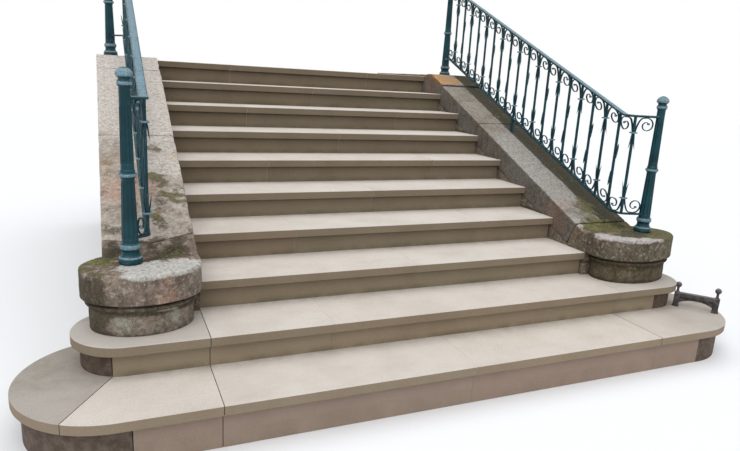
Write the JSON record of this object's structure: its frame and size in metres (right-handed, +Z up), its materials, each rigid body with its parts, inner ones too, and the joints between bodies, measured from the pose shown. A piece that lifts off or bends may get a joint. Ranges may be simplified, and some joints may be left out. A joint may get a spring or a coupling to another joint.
{
  "type": "outdoor stone steps",
  "caption": "Straight flight of outdoor stone steps up to a landing at a house wall, with round-ended lower steps, sloping wing walls on drum ends and scrolled iron railings.",
  "frame": {"origin": "middle of the footprint at ground level", "axes": "+Y up the flight towards the house wall, +Z up, +X to the right of someone climbing the steps"},
  "size_m": [4.1958, 4.422, 2.6],
  "materials": {
    "core_masonry": null,
    "tread_stone": "sawn beige sandstone, matte, lightly weathered",
    "riser_stone": "sawn beige sandstone, matte, with an olive cast",
    "bottom_riser_stone": "pinkish brown sandstone, matte",
    "wall_stone": "old dressed sandstone, stained",
    "drum_stone": "old turned sandstone, stained",
    "cap_stone": "old sandstone with pale lichen and moss",
    "coping_stone": "old pinkish grey sandstone with pale lichen and moss",
    "painted_iron": "gloss dark blue-green paint, worn pale on its edges",
    "raw_iron": "rough cast iron with rust and dust"
  },
  "bodies": {
    "root": {"stair_core": "core_masonry", "tread_1": "tread_stone", "tread_2": "tread_stone", "tread_3": "tread_stone", "tread_4": "tread_stone", "tread_5": "tread_stone", "tread_6": "tread_stone", "tread_7": "tread_stone", "tread_8": "tread_stone", "tread_9": "tread_stone", "riser_1": "bottom_riser_stone", "riser_2": "riser_stone", "riser_3": "riser_stone", "riser_4": "riser_stone", "riser_5": "riser_stone", "riser_6": "riser_stone", "riser_7": "riser_stone", "riser_8": "riser_stone", "riser_9": "riser_stone", "riser_10": "riser_stone", "landing_edge": "tread_stone", "landing_paving": "tread_stone", "wing_wall_left": "wall_stone", "drum_base_left": "drum_stone", "cap_stone_left": "cap_stone", "coping_lower_left": "coping_stone", "coping_middle_left": "coping_stone", "coping_upper_left": "coping_stone", "coping_landing_left": "coping_stone", "newel_lower_left": "painted_iron", "newel_upper_left": "painted_iron", "handrail_left": "painted_iron", "balustrade_left": "painted_iron", "wing_wall_right": "wall_stone", "drum_base_right": "drum_stone", "cap_stone_right": "cap_stone", "coping_lower_right": "coping_stone", "coping_middle_right": "coping_stone", "coping_upper_right": "coping_stone", "coping_landing_right": "coping_stone", "newel_lower_right": "painted_iron", "newel_upper_right": "painted_iron", "handrail_right": "painted_iron", "balustrade_right": "painted_iron", "boot_scraper": "raw_iron"}
  },
  "joints": []
}
